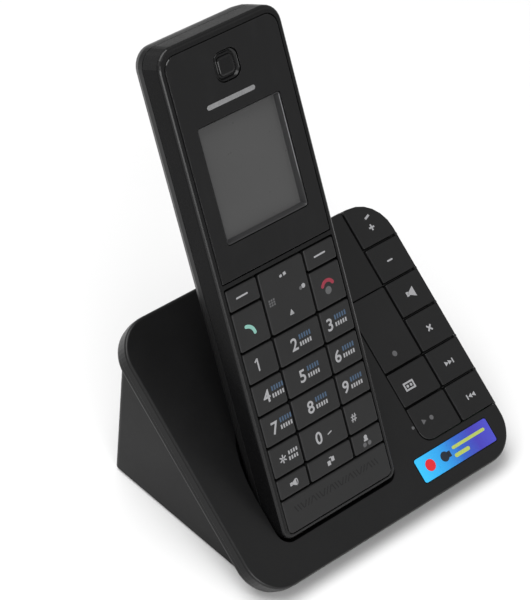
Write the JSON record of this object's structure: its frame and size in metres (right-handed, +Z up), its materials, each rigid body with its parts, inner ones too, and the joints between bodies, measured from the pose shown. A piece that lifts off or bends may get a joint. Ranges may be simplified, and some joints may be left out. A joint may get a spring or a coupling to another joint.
{
  "type": "cordless phone with base",
  "caption": "Slim cordless telephone handset leaning in the well of a sloped answering-machine base on a wedge stand, with keypads on both, a display window and rear sockets.",
  "frame": {"origin": "centre of the whole object's box seen from above, at the height of the feet's undersides", "axes": "+Z up; +X to the right of someone facing the keys; the deck's low front edge faces -Y"},
  "size_m": [0.1134, 0.0954, 0.156],
  "materials": {
    "satin_black_plastic": "satin moulded",
    "charcoal_plastic": "fine-grained moulded",
    "key_plastic": "soft satin",
    "gloss_black_panel": "polished",
    "display_window_glass": "clear over grey",
    "display_glass": "smooth",
    "black_rubber": "matte",
    "circuit_board": "solder mask",
    "steel_can": "plain",
    "contact_metal": "plated",
    "cell_sleeve": "shrink sleeve",
    "printed_label": "printed gradient"
  },
  "bodies": {
    "base": {"deck_cover": "satin_black_plastic", "deck_underside": "charcoal_plastic", "stand": "charcoal_plastic", "bottom_plate": "charcoal_plastic", "base_key_mat": "black_rubber", "base_board": "circuit_board", "base_speaker": "steel_can", "charge_contact_left": "contact_metal", "charge_contact_right": "contact_metal", "dc_jack": "charcoal_plastic", "line_jack": "charcoal_plastic", "foot_front": "black_rubber", "foot_rear": "black_rubber", "label_plate": "printed_label"},
    "handset": {"handset_front_case": "satin_black_plastic", "handset_rear_case": "charcoal_plastic", "upper_bezel": "gloss_black_panel", "display_window": "display_window_glass", "lcd_module": "display_glass", "earpiece_grille": "satin_black_plastic", "earpiece_speaker": "steel_can", "handset_board": "circuit_board", "keypad_mat": "black_rubber", "mic_panel": "key_plastic", "microphone": "steel_can", "battery_left": "cell_sleeve", "battery_right": "cell_sleeve", "handset_contact_left": "contact_metal", "handset_contact_right": "contact_metal"},
    "battery_cover": {"battery_cover": "charcoal_plastic"},
    "navigator_carrier": {"navigator_carrier": "key_plastic"},
    "navigator_key": {"navigator_key": "key_plastic"},
    "soft_key_left": {"soft_key_left": "key_plastic"},
    "soft_key_right": {"soft_key_right": "key_plastic"},
    "talk_key": {"talk_key": "key_plastic"},
    "end_key": {"end_key": "key_plastic"},
    "key_1": {"key_1": "key_plastic"},
    "key_2": {"key_2": "key_plastic"},
    "key_3": {"key_3": "key_plastic"},
    "key_4": {"key_4": "key_plastic"},
    "key_5": {"key_5": "key_plastic"},
    "key_6": {"key_6": "key_plastic"},
    "key_7": {"key_7": "key_plastic"},
    "key_8": {"key_8": "key_plastic"},
    "key_9": {"key_9": "key_plastic"},
    "key_star": {"key_star": "key_plastic"},
    "key_0": {"key_0": "key_plastic"},
    "key_hash": {"key_hash": "key_plastic"},
    "function_key_left": {"function_key_left": "key_plastic"},
    "function_key_middle": {"function_key_middle": "key_plastic"},
    "function_key_right": {"function_key_right": "key_plastic"},
    "volume_up_key": {"volume_up_key": "satin_black_plastic"},
    "volume_down_key": {"volume_down_key": "satin_black_plastic"},
    "speaker_key": {"speaker_key": "satin_black_plastic"},
    "erase_key": {"erase_key": "satin_black_plastic"},
    "skip_forward_key": {"skip_forward_key": "satin_black_plastic"},
    "skip_back_key": {"skip_back_key": "satin_black_plastic"},
    "stop_key": {"stop_key": "satin_black_plastic"},
    "answer_on_key": {"answer_on_key": "satin_black_plastic"},
    "play_key": {"play_key": "satin_black_plastic"}
  },
  "joints": [
    {"name": "handset_lift", "type": "slide", "parent": "base", "child": "handset", "axis": [0, 0.4571, 0.8894], "range_m": [0, 0.12]},
    {"name": "battery_cover_hinge", "type": "hinge", "parent": "handset", "child": "battery_cover", "pos_m": [-0.0162, -0.00526, 0.04018], "axis": [-1, 0, 0], "range_deg": [0, 20]},
    {"name": "navigator_tilt_up_down", "type": "hinge", "parent": "handset", "child": "navigator_carrier", "pos_m": [-0.0162, -0.00337, 0.07907], "axis": [1, 0, 0], "range_deg": [-2.5, 2.5], "stiffness_Nm_per_rad": 0.1},
    {"name": "navigator_tilt_sideways", "type": "hinge", "parent": "navigator_carrier", "child": "navigator_key", "pos_m": [-0.0162, -0.00337, 0.07907], "axis": [0, 0.4571, 0.8894], "range_deg": [-2.5, 2.5], "stiffness_Nm_per_rad": 0.1},
    {"name": "soft_key_left_press", "type": "slide", "parent": "handset", "child": "soft_key_left", "axis": [0, 0.8894, -0.4571], "range_m": [0, 0.0006], "stiffness_N_per_m": 500},
    {"name": "soft_key_right_press", "type": "slide", "parent": "handset", "child": "soft_key_right", "axis": [0, 0.8894, -0.4571], "range_m": [0, 0.0006], "stiffness_N_per_m": 500},
    {"name": "talk_key_press", "type": "slide", "parent": "handset", "child": "talk_key", "axis": [0, 0.8894, -0.4571], "range_m": [0, 0.0006], "stiffness_N_per_m": 500},
    {"name": "end_key_press", "type": "slide", "parent": "handset", "child": "end_key", "axis": [0, 0.8894, -0.4571], "range_m": [0, 0.0006], "stiffness_N_per_m": 500},
    {"name": "key_1_press", "type": "slide", "parent": "handset", "child": "key_1", "axis": [0, 0.8894, -0.4571], "range_m": [0, 0.0006], "stiffness_N_per_m": 500},
    {"name": "key_2_press", "type": "slide", "parent": "handset", "child": "key_2", "axis": [0, 0.8894, -0.4571], "range_m": [0, 0.0006], "stiffness_N_per_m": 500},
    {"name": "key_3_press", "type": "slide", "parent": "handset", "child": "key_3", "axis": [0, 0.8894, -0.4571], "range_m": [0, 0.0006], "stiffness_N_per_m": 500},
    {"name": "key_4_press", "type": "slide", "parent": "handset", "child": "key_4", "axis": [0, 0.8894, -0.4571], "range_m": [0, 0.0006], "stiffness_N_per_m": 500},
    {"name": "key_5_press", "type": "slide", "parent": "handset", "child": "key_5", "axis": [0, 0.8894, -0.4571], "range_m": [0, 0.0006], "stiffness_N_per_m": 500},
    {"name": "key_6_press", "type": "slide", "parent": "handset", "child": "key_6", "axis": [0, 0.8894, -0.4571], "range_m": [0, 0.0006], "stiffness_N_per_m": 500},
    {"name": "key_7_press", "type": "slide", "parent": "handset", "child": "key_7", "axis": [0, 0.8894, -0.4571], "range_m": [0, 0.0006], "stiffness_N_per_m": 500},
    {"name": "key_8_press", "type": "slide", "parent": "handset", "child": "key_8", "axis": [0, 0.8894, -0.4571], "range_m": [0, 0.0006], "stiffness_N_per_m": 500},
    {"name": "key_9_press", "type": "slide", "parent": "handset", "child": "key_9", "axis": [0, 0.8894, -0.4571], "range_m": [0, 0.0006], "stiffness_N_per_m": 500},
    {"name": "key_star_press", "type": "slide", "parent": "handset", "child": "key_star", "axis": [0, 0.8894, -0.4571], "range_m": [0, 0.0006], "stiffness_N_per_m": 500},
    {"name": "key_0_press", "type": "slide", "parent": "handset", "child": "key_0", "axis": [0, 0.8894, -0.4571], "range_m": [0, 0.0006], "stiffness_N_per_m": 500},
    {"name": "key_hash_press", "type": "slide", "parent": "handset", "child": "key_hash", "axis": [0, 0.8894, -0.4571], "range_m": [0, 0.0006], "stiffness_N_per_m": 500},
    {"name": "function_key_left_press", "type": "slide", "parent": "handset", "child": "function_key_left", "axis": [0, 0.8894, -0.4571], "range_m": [0, 0.0006], "stiffness_N_per_m": 500},
    {"name": "function_key_middle_press", "type": "slide", "parent": "handset", "child": "function_key_middle", "axis": [0, 0.8894, -0.4571], "range_m": [0, 0.0006], "stiffness_N_per_m": 500},
    {"name": "function_key_right_press", "type": "slide", "parent": "handset", "child": "function_key_right", "axis": [0, 0.8894, -0.4571], "range_m": [0, 0.0006], "stiffness_N_per_m": 500},
    {"name": "volume_up_key_press", "type": "slide", "parent": "base", "child": "volume_up_key", "axis": [0, 0.5906, -0.807], "range_m": [0, 0.0006], "stiffness_N_per_m": 500},
    {"name": "volume_down_key_press", "type": "slide", "parent": "base", "child": "volume_down_key", "axis": [0, 0.5906, -0.807], "range_m": [0, 0.0006], "stiffness_N_per_m": 500},
    {"name": "speaker_key_press", "type": "slide", "parent": "base", "child": "speaker_key", "axis": [0, 0.5906, -0.807], "range_m": [0, 0.0006], "stiffness_N_per_m": 500},
    {"name": "erase_key_press", "type": "slide", "parent": "base", "child": "erase_key", "axis": [0, 0.5906, -0.807], "range_m": [0, 0.0006], "stiffness_N_per_m": 500},
    {"name": "skip_forward_key_press", "type": "slide", "parent": "base", "child": "skip_forward_key", "axis": [0, 0.5906, -0.807], "range_m": [0, 0.0006], "stiffness_N_per_m": 500},
    {"name": "skip_back_key_press", "type": "slide", "parent": "base", "child": "skip_back_key", "axis": [0, 0.5906, -0.807], "range_m": [0, 0.0006], "stiffness_N_per_m": 500},
    {"name": "stop_key_press", "type": "slide", "parent": "base", "child": "stop_key", "axis": [0, 0.5906, -0.807], "range_m": [0, 0.0006], "stiffness_N_per_m": 500},
    {"name": "answer_on_key_press", "type": "slide", "parent": "base", "child": "answer_on_key", "axis": [0, 0.5906, -0.807], "range_m": [0, 0.0006], "stiffness_N_per_m": 500},
    {"name": "play_key_press", "type": "slide", "parent": "base", "child": "play_key", "axis": [0, 0.5906, -0.807], "range_m": [0, 0.0006], "stiffness_N_per_m": 500}
  ]
}
